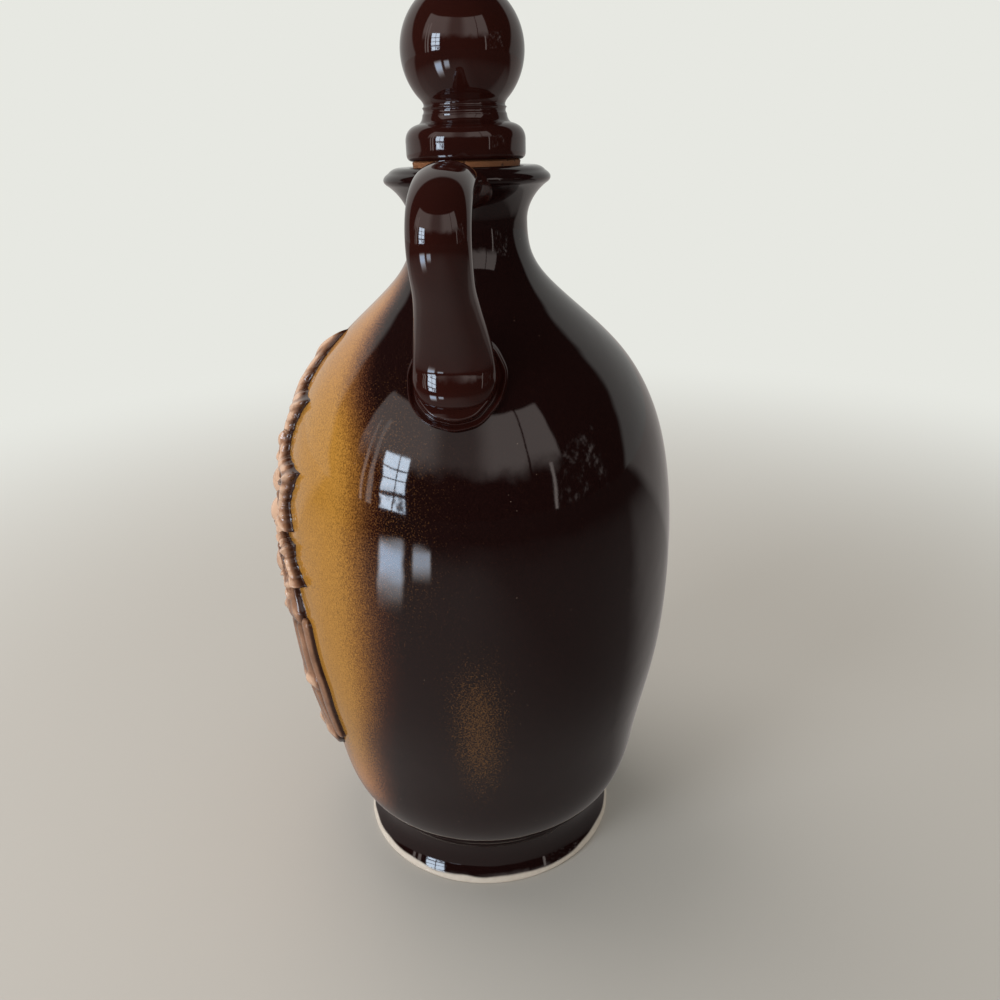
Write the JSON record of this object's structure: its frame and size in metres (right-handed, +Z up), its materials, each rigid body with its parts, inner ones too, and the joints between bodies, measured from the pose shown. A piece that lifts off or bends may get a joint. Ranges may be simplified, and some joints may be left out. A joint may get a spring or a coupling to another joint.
{
  "type": "figural liquor decanter",
  "caption": "Round glazed stoneware liquor decanter with a strap handle, a vine in relief on its front and a ball stopper on a cork.",
  "frame": {"origin": "middle of the foot's face, on the bottle's axis", "axes": "+Z up along the bottle's axis to the stopper, +X towards the handle, -Y out of the front with the relief"},
  "size_m": [0.109, 0.1106, 0.2302],
  "materials": {
    "brown_glaze": "gloss",
    "relief_glaze": "gloss",
    "cork": "matte"
  },
  "bodies": {
    "bottle": {"bottle_shell": "brown_glaze", "handle": "brown_glaze", "vine_stem": "relief_glaze", "side_shoot": "relief_glaze", "grape_bunch": "relief_glaze", "leaf_top": "relief_glaze", "leaf_right": "relief_glaze", "leaf_side": "relief_glaze", "leaf_left": "relief_glaze", "leaf_low": "relief_glaze", "tendrils": "relief_glaze"},
    "stopper": {"stopper_head": "brown_glaze", "cork_sleeve": "cork"}
  },
  "joints": [
    {"name": "stopper_lift", "type": "slide", "parent": "bottle", "child": "stopper", "axis": [0, 0, 1], "range_m": [0, 0.032]}
  ]
}
